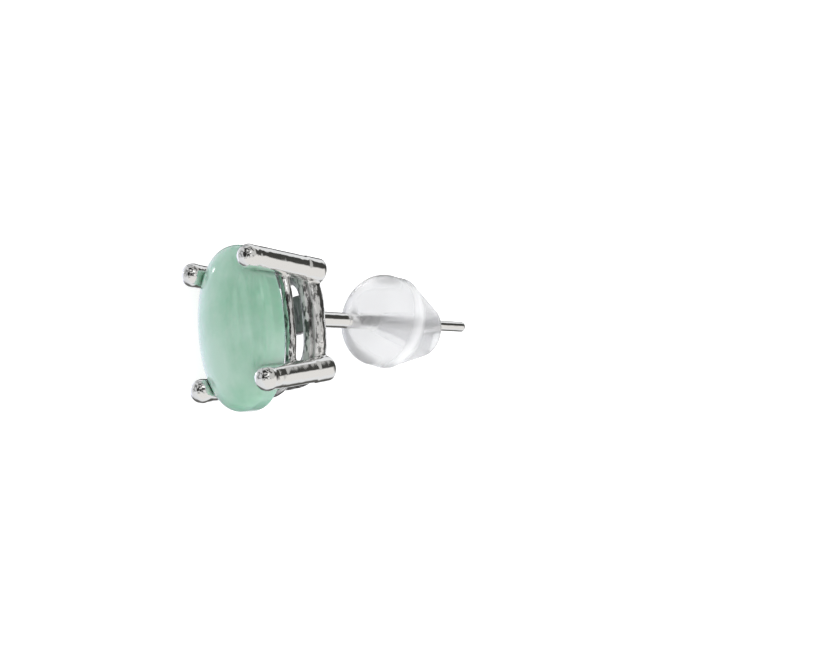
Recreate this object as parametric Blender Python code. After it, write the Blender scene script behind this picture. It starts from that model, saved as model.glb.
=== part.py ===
"""Stud earring: an oval cabochon in a four-prong basket, a straight post and a clear ear nut.

It is made in the head's own axes: X across the stone, Y back along the post, Z along the stone,
with the middle of the stone's girdle at zero. At the end it is laid on the two prongs of its -X
side, as a stud lies by itself, with the floor at Z = 0 and the post still running along +Y.
"""
import math

import bmesh
import bpy
from mathutils import Euler, Matrix, Vector

# Stone, in metres
STONE_LENGTH = 0.0060
STONE_WIDTH = 0.0040
STONE_DOME = 0.00092
STONE_WALL = 0.00053
STONE_EDGE_ROUND = 0.00014
DOME_POWER = 2.1
STONE_CLEARANCE = 0.00003
STONE_DROP = 0.00006

# Prongs: round wire with a ball tip that overlaps the edge of the stone
PRONG_RADIUS = 0.00043
PRONG_TIP_RADIUS = 0.000465
PRONG_GRIP = 0.000176
PRONG_PLACE_DEG = 41.5
PRONG_LEAN = 0.00036
PRONG_END_ROUND = 0.00016
PRONG_END_INSET = 0.00008
TIP_FORWARD = 0.00053

# Basket: a thin front rail, a thick back rail and the bar that carries the post
HEAD_BACK = 0.00265
FRONT_RAIL_RADIUS = 0.00019
FRONT_RAIL_BACK = 0.00090
FRONT_RAIL_BOW = 0.00054
BACK_RAIL_RADIUS = 0.00042
BACK_RAIL_INSET = 0.00020
BACK_RAIL_BOW = 0.00014
RAIL_POWER = 3.0
BAR_HEIGHT = 0.00140
BAR_THICKNESS = 0.00046
BAR_EDGE_ROUND = 0.00010
BAR_FACE_INSET = 0.00003

# Post
POST_RISE = 0.00035
POST_DROOP_DEG = 0.8
POST_RADIUS = 0.00030
POST_TIP_RADIUS = 0.00021
POST_LENGTH = 0.00933
POST_TIP_LENGTH = 0.00250
POST_TAPER_LENGTH = 0.00040
POST_END_ROUND = 0.00006

# Ear nut
NUT_RADIUS = 0.00185
NUT_REAR_RADIUS = 0.00105
NUT_FRONT_RADIUS = 0.00038
NUT_DOME = 0.00120
NUT_DOME_POWER = 1.75
NUT_BAND = 0.00070
NUT_CONE = 0.00188
NUT_REAR_ROUND = 0.00018
NUT_GAP = 0.00322
NUT_BORE_CLEARANCE = 0.00003
NUT_COCK_DEG = 10.0
NUT_TURN_DEG = 2.0

# Only edges sharper than this are shaded as edges
SHARP_ANGLE_DEG = 40

# A prong's ball stops this far round, at a small flat end
BALL_END_DEG = 84

# How finely round shapes are cut
WIRE_SIDES = 16
THIN_WIRE_SIDES = 10
RAIL_STEPS = 56
STONE_STEPS = 56
DOME_RINGS = 9
NUT_SIDES = 40
ARC_STEPS = 4
BALL_STEPS = 8
DOME_STEPS = 8
EDGE_STEPS = 3
POST_END_STEPS = 2
BAR_EDGE_STEPS = 2
ROUND_PROFILE = 0.5

# The four prongs: the side in X, the end in Z, and the ball's reach as a share of TIP_FORWARD
PRONGS = (
    {"name": "upper_near", "side": 1, "end": 1, "reach": 1.30},
    {"name": "lower_near", "side": 1, "end": -1, "reach": 0.63},
    {"name": "upper_far", "side": -1, "end": 1, "reach": 1.00},
    {"name": "lower_far", "side": -1, "end": -1, "reach": 1.00},
)


def clear_scene():
    for thing in list(bpy.data.objects):
        bpy.data.objects.remove(thing, do_unlink=True)


def make_material(name, colour, metallic, roughness):
    material = bpy.data.materials.new(name)
    material.use_nodes = True
    shader = material.node_tree.nodes["Principled BSDF"]
    shader.inputs["Base Color"].default_value = (*colour, 1.0)
    shader.inputs["Metallic"].default_value = metallic
    shader.inputs["Roughness"].default_value = roughness
    return material


def make_object(name, bm, material=None, parent=None):
    """Turn a bmesh into a named object, shaded smooth but for its sharp edges."""
    bmesh.ops.recalc_face_normals(bm, faces=bm.faces)
    mesh = bpy.data.meshes.new(name)
    bm.to_mesh(mesh)
    bm.free()
    mesh.shade_smooth()
    mesh.set_sharp_from_angle(angle=math.radians(SHARP_ANGLE_DEG))
    thing = bpy.data.objects.new(name, mesh)
    bpy.context.collection.objects.link(thing)
    if material:
        mesh.materials.append(material)
    thing.parent = parent
    return thing


def make_empty(name, parent=None):
    empty = bpy.data.objects.new(name, None)
    empty.empty_display_size = STONE_WIDTH
    bpy.context.collection.objects.link(empty)
    empty.parent = parent
    return empty


def loft(rings, loop=False):
    """A closed skin over rings of equal count, joined end to end or capped at both ends."""
    bm = bmesh.new()
    rows = [[bm.verts.new(point) for point in ring] for ring in rings]
    pairs = list(zip(rows, rows[1:]))
    if loop:
        pairs.append((rows[-1], rows[0]))
    for first, second in pairs:
        count = len(first)
        for i in range(count):
            after = (i + 1) % count
            bm.faces.new((first[i], first[after], second[after], second[i]))
    if not loop:
        bm.faces.new(reversed(rows[0]))
        bm.faces.new(rows[-1])
    return bm


def turned(profile, sides):
    """A solid of revolution about local +Y from (distance along, radius) pairs."""
    angles = [2 * math.pi * i / sides for i in range(sides)]
    return loft([[(radius * math.cos(a), along, radius * math.sin(a)) for a in angles]
                 for along, radius in profile])


def arc(centre_along, centre_radius, size, start_deg, end_deg, steps=ARC_STEPS):
    """Profile points on a circle: 0 degrees points out from the axis, 90 degrees along +Y."""
    points = []
    for i in range(steps + 1):
        angle = math.radians(start_deg + (end_deg - start_deg) * i / steps)
        points.append((centre_along + size * math.sin(angle), centre_radius + size * math.cos(angle)))
    return points


def oval(half_x, half_z, y, steps=STONE_STEPS):
    angles = [2 * math.pi * i / steps for i in range(steps)]
    return [(half_x * math.cos(a), y, half_z * math.sin(a)) for a in angles]


def stone_skin(margin):
    """The cabochon, grown by a margin on every side: a full dome, a short wall and a flat back."""
    half_x = STONE_WIDTH / 2 + margin
    half_z = STONE_LENGTH / 2 + margin
    dome = STONE_DOME + margin
    rings = []
    for i in range(DOME_RINGS):
        share = math.sin(math.pi / 2 * (i + 0.5) / DOME_RINGS)
        height = dome * (1 - share ** DOME_POWER) ** (1 / DOME_POWER)
        rings.append(oval(half_x * share, half_z * share, -height))
    back = STONE_WALL + margin
    rings.append(oval(half_x, half_z, 0))
    for along, inset in arc(back - STONE_EDGE_ROUND, 0, STONE_EDGE_ROUND, 0, 90, EDGE_STEPS):
        reduced = STONE_EDGE_ROUND - inset
        rings.append(oval(half_x - reduced, half_z - reduced, along))
    return loft(rings)


def prong_tip(prong):
    """Centre of a prong's ball: outside the stone's edge, so that the ball overlaps it by PRONG_GRIP."""
    place = math.radians(PRONG_PLACE_DEG)
    half_x = STONE_WIDTH / 2
    half_z = STONE_LENGTH / 2
    normal = Vector((math.cos(place) / half_x, 0, math.sin(place) / half_z)).normalized()
    edge = Vector((half_x * math.cos(place), 0, half_z * math.sin(place)))
    tip = edge + normal * (PRONG_TIP_RADIUS - PRONG_GRIP)
    return Vector((tip.x * prong["side"], -TIP_FORWARD * prong["reach"], tip.z * prong["end"]))


def prong_end_y():
    """Distance behind the girdle of the prongs' rear ends, a little in front of the back rail's."""
    return HEAD_BACK - PRONG_END_INSET


def prong_rear(prong):
    """Centre of a prong's rear end, which leans in along the stone."""
    tip = prong_tip(prong)
    return Vector((tip.x, prong_end_y(), tip.z - PRONG_LEAN * prong["end"]))


def prong_at(y):
    """X and Z of a prong's axis, as positive numbers, at a distance behind the girdle."""
    tip = prong_tip(PRONGS[0])
    share = (y - tip.y) / (prong_end_y() - tip.y)
    return tip.x, tip.z - PRONG_LEAN * share


def turn_towards(direction):
    """The rotation that points local +Y along a direction."""
    return Vector((0, 1, 0)).rotation_difference(direction).to_euler()


def make_prong(prong, parent):
    rear = prong_rear(prong)
    tip = prong_tip(prong)
    length = (tip - rear).length
    neck = length - math.sqrt(PRONG_TIP_RADIUS ** 2 - PRONG_RADIUS ** 2)
    start = math.degrees(math.asin((neck - length) / PRONG_TIP_RADIUS))
    profile = list(reversed(arc(PRONG_END_ROUND, PRONG_RADIUS - PRONG_END_ROUND,
                                PRONG_END_ROUND, 0, -90)))
    profile += arc(length, 0, PRONG_TIP_RADIUS, start, BALL_END_DEG, BALL_STEPS)
    thing = make_object("prong_" + prong["name"], turned(profile, WIRE_SIDES), parent=parent)
    thing.location = rear
    thing.rotation_euler = turn_towards(tip - rear)
    return thing


def rail_path(half_x, half_z, y):
    """A rounded oval around the basket, flatter on its sides than an ellipse."""
    points = []
    for i in range(RAIL_STEPS):
        angle = 2 * math.pi * (i + 0.5) / RAIL_STEPS
        c = math.cos(angle)
        s = math.sin(angle)
        size = (abs(c) ** RAIL_POWER + abs(s) ** RAIL_POWER) ** (-1 / RAIL_POWER)
        points.append(Vector((half_x * size * c, y, half_z * size * s)))
    return points


def make_rail(name, y, half_x, half_z, radius, sides, parent):
    path = rail_path(half_x, half_z, y)
    rings = []
    for i, point in enumerate(path):
        along = (path[(i + 1) % len(path)] - path[i - 1]).normalized()
        outward = along.cross(Vector((0, 1, 0)))
        ring = []
        for k in range(sides):
            angle = 2 * math.pi * k / sides
            ring.append(point + radius * (math.cos(angle) * outward + math.sin(angle) * Vector((0, 1, 0))))
        rings.append(ring)
    return make_object(name, loft(rings, loop=True), parent=parent)


def make_front_rail(parent):
    x, z = prong_at(FRONT_RAIL_BACK)
    return make_rail("front_rail", FRONT_RAIL_BACK, x, z + FRONT_RAIL_BOW,
                     FRONT_RAIL_RADIUS, THIN_WIRE_SIDES, parent)


def back_rail_half_x():
    return prong_rear(PRONGS[0]).x - BACK_RAIL_INSET


def make_back_rail(parent):
    y = HEAD_BACK - BACK_RAIL_RADIUS
    return make_rail("back_rail", y, back_rail_half_x(), prong_rear(PRONGS[0]).z + BACK_RAIL_BOW,
                     BACK_RAIL_RADIUS, WIRE_SIDES, parent)


def bar_rear():
    """Distance behind the girdle of the bar's rear face, which meets the ear."""
    return HEAD_BACK - BAR_FACE_INSET


def make_bar(parent):
    """The bar crosses the back rail at the height of the post."""
    bm = bmesh.new()
    bmesh.ops.create_cube(bm, size=1)
    size = Vector((2 * back_rail_half_x(), BAR_THICKNESS, BAR_HEIGHT))
    bmesh.ops.scale(bm, vec=size, verts=bm.verts)
    bmesh.ops.bevel(bm, geom=list(bm.edges), offset=BAR_EDGE_ROUND, segments=BAR_EDGE_STEPS,
                    affect="EDGES", profile=ROUND_PROFILE)
    thing = make_object("bar", bm, parent=parent)
    thing.location = (0, bar_rear() - BAR_THICKNESS / 2, POST_RISE)
    return thing


def make_post_line(parent):
    """An empty where the post leaves the bar, with local +Y along the post."""
    line = make_empty("post_line", parent)
    line.location = (0, bar_rear(), POST_RISE)
    line.rotation_euler = (-math.radians(POST_DROOP_DEG), 0, 0)
    return line


def make_post(post_line):
    """The post starts inside the bar, and is thinner from where the nut hides it to its end."""
    root = BAR_THICKNESS / 2
    end = root + POST_LENGTH
    taper_end = end - POST_TIP_LENGTH
    profile = [(0, POST_RADIUS), (taper_end - POST_TAPER_LENGTH, POST_RADIUS), (taper_end, POST_TIP_RADIUS)]
    profile += arc(end - POST_END_ROUND, POST_TIP_RADIUS - POST_END_ROUND, POST_END_ROUND, 0, 90, POST_END_STEPS)
    thing = make_object("post", turned(profile, WIRE_SIDES), parent=post_line)
    thing.location = (0, -root, 0)
    return thing


def use_as_tool(thing):
    thing.hide_render = True
    thing.display_type = "WIRE"


def combine(target, tool, operation):
    """One Boolean on the target, which leaves the tool out of the model."""
    use_as_tool(tool)
    modifier = target.modifiers.new(operation.lower() + "_" + tool.name, "BOOLEAN")
    modifier.operation = operation
    modifier.solver = "EXACT"
    modifier.object = tool


def make_setting(material, parent, post_line):
    """Everything that is soldered together: rails, prongs, bar and post, with seats cut for the stone."""
    setting = make_back_rail(parent)
    setting.name = "setting"
    setting.data.materials.append(material)
    for prong in PRONGS:
        combine(setting, make_prong(prong, parent), "UNION")
    combine(setting, make_front_rail(parent), "UNION")
    combine(setting, make_bar(parent), "UNION")
    combine(setting, make_post(post_line), "UNION")
    seat = make_object("stone_seat", stone_skin(STONE_CLEARANCE), parent=parent)
    seat.location.z = -STONE_DROP
    combine(setting, seat, "DIFFERENCE")
    return setting


def make_stone(material, parent):
    """The stone sits a little low between its prongs."""
    stone = make_object("stone", stone_skin(0), material, parent)
    stone.location.z = -STONE_DROP
    return stone


def nut_profile():
    """The nut from its small front face over a dome, a straight band and a cone to its rear end."""
    rise = NUT_RADIUS - NUT_FRONT_RADIUS
    profile = []
    for i in range(DOME_STEPS + 1):
        angle = math.pi / 2 * i / DOME_STEPS
        along = 1 - max(math.cos(angle), 0) ** (2 / NUT_DOME_POWER)
        outward = math.sin(angle) ** (2 / NUT_DOME_POWER)
        profile.append((NUT_DOME * along, NUT_FRONT_RADIUS + rise * outward))
    shoulder = NUT_DOME + NUT_BAND
    profile.append((shoulder, NUT_RADIUS))
    end = shoulder + NUT_CONE
    slope = math.degrees(math.atan2(NUT_RADIUS - NUT_REAR_RADIUS, NUT_CONE))
    profile += arc(end - NUT_REAR_ROUND, NUT_REAR_RADIUS - NUT_REAR_ROUND, NUT_REAR_ROUND, slope, 90,
                   EDGE_STEPS)
    return profile


def nut_half_length():
    return (NUT_DOME + NUT_BAND + NUT_CONE) / 2


def make_ear_nut(material, post_line):
    """The nut's body is cocked on the post, NUT_GAP behind the bar, and its bore follows the post."""
    slide = make_empty("nut_slide", post_line)
    slide.location = (0, NUT_GAP + nut_half_length(), 0)
    bm = turned(nut_profile(), NUT_SIDES)
    bmesh.ops.translate(bm, vec=(0, -nut_half_length(), 0), verts=bm.verts)
    cock = Euler((-math.radians(NUT_COCK_DEG), 0, -math.radians(NUT_TURN_DEG)))
    bmesh.ops.rotate(bm, cent=(0, 0, 0), matrix=cock.to_matrix(), verts=bm.verts)
    nut = make_object("ear_nut", bm, material, slide)
    reach = 2 * nut_half_length()
    bore_radius = POST_RADIUS + NUT_BORE_CLEARANCE
    bore = make_object("nut_bore", turned([(-reach, bore_radius), (reach, bore_radius)], WIRE_SIDES),
                       parent=slide)
    combine(nut, bore, "DIFFERENCE")
    return nut


def lying_angle():
    """How far the post tips down so that the far prongs' balls and rear edges both touch the floor."""
    drop = PRONG_TIP_RADIUS - PRONG_RADIUS
    run = prong_end_y() - PRONG_END_ROUND + TIP_FORWARD
    return math.atan2(drop, run)


def world_box(things):
    """Lowest and highest corner of the finished pieces."""
    bpy.context.view_layer.update()
    graph = bpy.context.evaluated_depsgraph_get()
    corners = []
    for thing in things:
        evaluated = thing.evaluated_get(graph)
        corners += [evaluated.matrix_world @ vertex.co for vertex in evaluated.data.vertices]
    low = Vector([min(corner[i] for corner in corners) for i in range(3)])
    high = Vector([max(corner[i] for corner in corners) for i in range(3)])
    return low, high


def lay_down(head, pieces):
    """Turn the head's -X side to the floor, and put the floor's point under the middle at zero."""
    on_side = Matrix.Rotation(-math.pi / 2, 4, "Y")
    tipped = Matrix.Rotation(-lying_angle(), 4, "X")
    head.rotation_euler = (tipped @ on_side).to_euler()
    low, high = world_box(pieces)
    middle = (low + high) / 2
    head.location = (-middle.x, -middle.y, -low.z)


def main():
    clear_scene()
    silver = make_material("polished_silver", (0.86, 0.86, 0.87), 1.0, 0.12)
    green = make_material("cloudy_green_stone", (0.42, 0.66, 0.53), 0.0, 0.25)
    clear = make_material("clear_silicone", (0.90, 0.91, 0.92), 0.0, 0.30)
    head = make_empty("head")
    post_line = make_post_line(head)
    pieces = [make_setting(silver, head, post_line), make_stone(green, head), make_ear_nut(clear, post_line)]
    lay_down(head, pieces)


main()
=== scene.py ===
"""Stud earring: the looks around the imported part.

Every piece is made in the head's own axes, in metres: X across the stone, Y back along the post and
Z along the stone, with the middle of the stone's girdle at zero. HEAD_PLACE then lays it on its -X
side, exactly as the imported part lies.
"""
import math

import bmesh
import bpy
import numpy as np
from mathutils import Euler, Matrix, Vector, noise


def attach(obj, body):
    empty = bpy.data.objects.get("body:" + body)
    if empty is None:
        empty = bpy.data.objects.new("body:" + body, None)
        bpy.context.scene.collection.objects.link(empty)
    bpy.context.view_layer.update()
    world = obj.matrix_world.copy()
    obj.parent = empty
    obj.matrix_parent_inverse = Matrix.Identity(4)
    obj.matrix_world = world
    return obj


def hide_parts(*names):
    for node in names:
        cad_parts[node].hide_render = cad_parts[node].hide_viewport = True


bl_info = {
    "name": "Stud Earring",
    "version": (1, 0, 0),
    "blender": (4, 5, 0),
    "location": "View3D > Sidebar > Earring",
    "description": "A stud earring with an oval cabochon, a round-wire basket and a clear ear nut",
    "category": "Object",
}

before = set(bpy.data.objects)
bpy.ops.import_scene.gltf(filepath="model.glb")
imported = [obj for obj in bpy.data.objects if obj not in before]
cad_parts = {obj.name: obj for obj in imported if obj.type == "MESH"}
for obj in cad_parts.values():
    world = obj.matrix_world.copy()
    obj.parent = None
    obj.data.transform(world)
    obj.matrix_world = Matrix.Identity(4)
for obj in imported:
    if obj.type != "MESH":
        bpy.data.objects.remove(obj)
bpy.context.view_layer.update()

MM = 0.001

# Where the head lies in the part's frame
HEAD_AT = Vector((-0.00006, -0.00540894, 0.00220539))
HEAD_TIP_DEG = 0.68207
HEAD_PLACE = (Matrix.Translation(HEAD_AT)
              @ Matrix.Rotation(-math.radians(HEAD_TIP_DEG), 4, "X")
              @ Matrix.Rotation(-math.pi / 2, 4, "Y"))

# Stone
DOME_POWER = 2.3
OUTLINE_POWER = 2.2
STONE_EDGE_ROUND = 0.14 * MM
STONE_DROP = 0.09 * MM
STONE_SIDES = 144
DOME_RINGS = 40
DOME_TOP = 0.05
WALL_RINGS = 4
EDGE_RINGS = 8
BACK_RINGS = 8

# Prongs and basket
PRONG_GRIP = 0.176 * MM
PRONG_PLACE_DEG = 41.5
PRONG_LEAN = 0.36 * MM
PRONG_END_INSET = 0.08 * MM
PRONG_END_ROUND = 0.22 * MM
PRONG_NECK_BLEND = 0.05 * MM
KNUCKLE_RISE = 0.03 * MM
KNUCKLE_LENGTH = 0.85 * MM
TIP_FORWARD = 0.53 * MM
SEAT_GAP = 0.006 * MM
SEAT_EDGE_ROUND = 0.16 * MM
HEAD_BACK = 2.65 * MM
FRONT_RAIL_BACK = 0.90 * MM
FRONT_RAIL_BOW = 0.54 * MM
BACK_RAIL_INSET = 0.20 * MM
BACK_RAIL_BOW = 0.14 * MM
RAIL_POWER = 3.0
CREASE_TURN_DEG = 52
CREASE_WIDTH = 0.17
CREASE_DEPTH = 0.05 * MM
CREASE_REACH = 1.5
BAR_HEIGHT = 1.40 * MM
BAR_THICKNESS = 0.46 * MM
BAR_FACE_INSET = 0.03 * MM
BAR_EDGE_ROUND = 0.10 * MM

# Post
POST_RISE = 0.35 * MM
POST_DROOP_DEG = 0.8
POST_TIP_RADIUS = 0.21 * MM
POST_TIP_LENGTH = 2.50 * MM
POST_TAPER_LENGTH = 0.40 * MM
POST_END_ROUND = 0.06 * MM

# Ear nut
NUT_REAR_RADIUS = 1.05 * MM
NUT_FRONT_RADIUS = 0.38 * MM
NUT_DOME = 1.20 * MM
NUT_DOME_POWER = 1.75
NUT_BAND = 0.70 * MM
NUT_CONE = 1.88 * MM
NUT_GAP = 3.22 * MM
NUT_COCK_DEG = 10.0
NUT_TURN_DEG = 2.0
NUT_REAR_ROUND = 0.18 * MM
NUT_RIM = 0.022 * MM
NUT_RIM_AT = 1.84 * MM
NUT_RIM_WIDTH = 0.50 * MM
NUT_SIDES = 128
NUT_DOME_STEPS = 32
NUT_SIDE_STEPS = 56
NUT_REAR_STEPS = 8
BORE_STEPS = 24
BORE_FIT = 0.96
BORE_FLARE = 0.36 * MM
BORE_WAIST = 0.72
# How the painted grey shade fades in the bore's flare, and how far the painted highlight in the rim
# reaches
FLARE_FADE = 0.30
FLARE_REAR = 0.20
RIM_HIGHLIGHT_REACH = 1.25
RIM_HIGHLIGHT_FADE = 0.7

# Skin over the metal
SKIN_LOW = (-2.4 * MM, -1.25 * MM, -3.0 * MM)
SKIN_HIGH = (2.4 * MM, 12.3 * MM, 3.0 * MM)
SKIN_PITCH = 0.048 * MM
SETTLE_ROUNDS = 2
SLOPE_STEP = 0.004 * MM
LEAST_STEEPNESS = 0.25

# Marks of casting and wear on the metal, and of the painted shade in its recesses, on cast faces turned
# to the front and away from its upper +X side
CAST_EDGE = 0.10 * MM
CAST_DEPTH = 0.016 * MM
WIRE_DEPTH = 0.005 * MM
CAST_SIZE = 0.34 * MM
CAST_STRETCH = (1.0, 1.0, 0.45)
CAST_OCTAVE = 2.3
CAST_OCTAVE_DEPTH = 0.5
CAST_SHADE = 0.9
RECESS_FRONT = 0.60 * MM
RECESS_REAR = 1.40 * MM
RECESS_FADE = 0.20 * MM
RECESS_GAIN = 1.6
RECESS_START = 0.5
RECESS_SHADE_AND_DULL = 0.9
SMALLEST_RADIUS = 0.10 * MM
LOWER_SHADE_X = 1.30 * MM
LOWER_SHADE_FADE = 0.40 * MM
LOWER_SHADE = 0.75
BEATEN_REACH = 1.5

# Finish of the silver: sizes and depths of its noise, the patches and darkness of its painted shade, and
# how dull it is in the recesses
GRAIN_STRETCH = (0.4, 1.0, 1.0)
GRAIN_SIZE = 0.26 * MM
GRAIN_DEPTH = 0.042 * MM
WIRE_GRAIN = 0.05
DENT_SIZE = 0.36 * MM
DENT_DEPTH = 0.045 * MM
SCRATCH_SIZE = 0.03 * MM
SCRATCH_DEPTH = 0.0006 * MM
SHADE_PATCH_SIZE = 0.20 * MM
SHADE_SHARE = 0.12
POLISH = (0.04, 0.11)
RECESS_ROUGHNESS = 0.38
RECESS_OXIDE = 0.80

# Finish of the stone and the silicone
CLOUD_SIZE = 2.2 * MM
STONE_SCATTER = 0.8 * MM
STONE_IOR = 1.6
HAZE_SIZE = 0.6 * MM
HAZE_ROUGHNESS = (0.15, 0.23)
SILICONE_IOR = 1.41
SILICONE_CLEAR = 0.74
RIM_CLEAR = 0.50

# Camera and stage
CAMERA_AT = (0.00633809, -0.03251068, 0.03755451)
CAMERA_TURN_DEG = (13.100753620569677, -44.15960794657155, 82.04068061182475)
CAMERA_LENS_MM = 55.19065682656826
FLOOR_HALF = 0.6
FLOOR_CELLS = 8
SOFTBOX_AT = (0.12, 0.02, 0.16)
SOFTBOX_SIZE = 0.14

# What polished metal mirrors in the light tent. Each gap or lamp has the direction that it lies in, its
# width and softness in degrees, and its colour.
TENT_MOTTLE = 3.5
TENT_OVERHEAD = (0.12, 0.12, 0.12)
TENT_EVEN = (1.0, 1.0, 1.0)
TENT_DARK = (0.02, 0.02, 0.019)
TENT_DIM = (0.78, 0.78, 0.77)
TENT_BETWEEN = (0.50, 0.50, 0.49)
TENT_BEHIND = (0.05, 0.05, 0.046)
TENT_SIDE = (0.80, 0.785, 0.765)
TENT_TABLE = (0.72, 0.73, 0.76)
TENT_RIM = (0.80, 0.81, 0.82)
TENT_FRONT = (0.62, 0.63, 0.64)
TENT_GLOOM = (0.14, 0.145, 0.15)
TENT_GAPS = (
    ((-0.47, 0.60, -0.65), 18, 4, TENT_DARK),
    ((0.58, 0.61, -0.50), 20, 6, (0.10, 0.098, 0.09)),
    ((-0.14, 0.95, 0.20), 25, 7, (0.05, 0.05, 0.048)),
    ((-0.20, -0.93, 0.26), 17, 5, TENT_DARK),
    ((-0.22, 0.12, 0.97), 22, 6, (0.55, 0.55, 0.54)),
    ((-0.10, -0.02, -1.00), 22, 9, (1.12, 1.14, 1.30)),
    ((0.50, 0.10, -0.82), 24, 7, (0.14, 0.14, 0.135)),
)
TENT_LAMPS = (
    ((-0.44, -0.316, -0.84), 1.3, 0.5, (8.0, 8.0, 8.0)),
    ((-0.45, -0.35, 0.82), 7, 1, (1.3, 1.3, 1.3)),
)

# The four prongs: the side in X, the end in Z, the ball's reach as a share of TIP_FORWARD, and the
# size of the ball as a share of the usual one
PRONGS = (
    {"side": 1, "end": 1, "reach": 1.27, "ball": 0.93},
    {"side": 1, "end": -1, "reach": 0.63, "ball": 0.97},
    {"side": -1, "end": 1, "reach": 1.00, "ball": 0.95},
    {"side": -1, "end": -1, "reach": 1.00, "ball": 0.95},
)


class StoneProperties(bpy.types.PropertyGroup):
    length: bpy.props.FloatProperty(
        name="Length", description="Long side of the oval stone", default=6.0 * MM, unit="LENGTH")
    width: bpy.props.FloatProperty(
        name="Width", description="Short side of the oval stone", default=4.0 * MM, unit="LENGTH")
    dome: bpy.props.FloatProperty(
        name="Dome", description="Height of the dome in front of the girdle", default=0.89 * MM,
        unit="LENGTH")
    wall: bpy.props.FloatProperty(
        name="Wall", description="Depth of the stone behind the girdle", default=0.53 * MM, unit="LENGTH")
    colour: bpy.props.FloatVectorProperty(
        name="Colour", description="Green of the body of the stone", default=(0.238, 0.445, 0.325),
        subtype="COLOR")
    cloud_colour: bpy.props.FloatVectorProperty(
        name="Cloud colour", description="Pale colour of the clouds in the stone",
        default=(0.36, 0.53, 0.44), subtype="COLOR")
    # Painted sheen: the pale blue mixed in where the stone is seen at a low angle
    sheen_colour: bpy.props.FloatVectorProperty(
        name="Milk colour", description="Pale blue of the stone where it is seen at a low angle",
        default=(0.45, 0.60, 0.72), subtype="COLOR")


class SettingProperties(bpy.types.PropertyGroup):
    prong_radius: bpy.props.FloatProperty(
        name="Prong radius", description="Radius of the round prong wire", default=0.43 * MM,
        unit="LENGTH")
    ball_radius: bpy.props.FloatProperty(
        name="Ball radius", description="Radius of the balls that hold the stone", default=0.465 * MM,
        unit="LENGTH")
    front_rail_radius: bpy.props.FloatProperty(
        name="Front rail radius", description="Radius of the thin wire behind the stone",
        default=0.19 * MM, unit="LENGTH")
    back_rail_radius: bpy.props.FloatProperty(
        name="Back rail radius", description="Radius of the thick wire at the prongs' rear ends",
        default=0.42 * MM, unit="LENGTH")
    post_radius: bpy.props.FloatProperty(
        name="Post radius", description="Radius of the post where it passes the ear",
        default=0.30 * MM, unit="LENGTH")
    post_length: bpy.props.FloatProperty(
        name="Post length", description="Length of the post behind the bar", default=9.33 * MM,
        unit="LENGTH")
    solder: bpy.props.FloatProperty(
        name="Solder", description="Size of the soft fillets where wires meet", default=0.14 * MM,
        unit="LENGTH")
    colour: bpy.props.FloatVectorProperty(
        name="Colour", description="Colour of the plated silver", default=(0.92, 0.915, 0.905),
        subtype="COLOR")


class NutProperties(bpy.types.PropertyGroup):
    radius: bpy.props.FloatProperty(
        name="Radius", description="Largest radius of the ear nut", default=1.85 * MM, unit="LENGTH")
    colour: bpy.props.FloatVectorProperty(
        name="Colour", description="Tint of the clear silicone", default=(0.865, 0.87, 0.885),
        subtype="COLOR")
    # Painted highlight: the pale white mixed into the nut's rim
    rim_highlight_colour: bpy.props.FloatVectorProperty(
        name="Rim colour", description="Milky white of the nut's rim", default=(0.96, 0.965, 0.98),
        subtype="COLOR")
    # Painted shade: the grey mixed into the bore where it flares
    flare_shade_colour: bpy.props.FloatVectorProperty(
        name="Flare colour", description="Grey of the bore where it widens to the rear",
        default=(0.77, 0.77, 0.79), subtype="COLOR")


class StageProperties(bpy.types.PropertyGroup):
    floor_colour: bpy.props.FloatVectorProperty(
        name="Floor colour", description="Colour of the plain floor", default=(0.5, 0.5, 0.5),
        subtype="COLOR")
    table_glow: bpy.props.FloatProperty(
        name="Table glow", description="Light that the white table gives off itself", default=0.75)
    softbox_power: bpy.props.FloatProperty(
        name="Softbox power", description="Power of the large softbox, in watts", default=0.1,
        subtype="POWER")
    tent_light: bpy.props.FloatProperty(
        name="Tent light", description="Brightness of the light tent around the earring", default=1.0)


def make_object(name, mesh, material, body, node):
    """A finished piece: placed in the part's frame, riding on its body and standing for its CAD node."""
    mesh.transform(HEAD_PLACE)
    mesh.materials.append(material)
    mesh.shade_smooth()
    piece = bpy.data.objects.new(name, mesh)
    bpy.context.scene.collection.objects.link(piece)
    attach(piece, body)
    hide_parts(node)
    return piece


# Distances to the metal's parts, for arrays of points

def blend_min(first, second, size):
    """Union of two distances with a soft fillet between them."""
    overlap = np.maximum(size - np.abs(first - second), 0) / size
    return np.minimum(first, second) - overlap * overlap * size / 4


def wire_distance(points, start, direction, length, radius, rounding):
    """Straight round wire with rounded ends. The radius is one number or one for each point."""
    relative = points - np.array(start, np.float32)
    along = relative @ np.array(direction, np.float32)
    around = np.sqrt(np.maximum((relative ** 2).sum(1) - along ** 2, 0))
    out = around - (radius - rounding)
    past = np.abs(along - length / 2) - (length / 2 - rounding)
    outside = np.hypot(np.maximum(out, 0), np.maximum(past, 0))
    return outside + np.minimum(np.maximum(out, past), 0) - rounding


def ball_distance(points, centre, radius):
    return np.sqrt(((points - np.array(centre, np.float32)) ** 2).sum(1)) - radius


def box_distance(points, centre, half, rounding):
    past = np.abs(points - np.array(centre, np.float32)) - (np.array(half, np.float32) - rounding)
    outside = np.sqrt((np.maximum(past, 0) ** 2).sum(1))
    return outside + np.minimum(past.max(1), 0) - rounding


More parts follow.
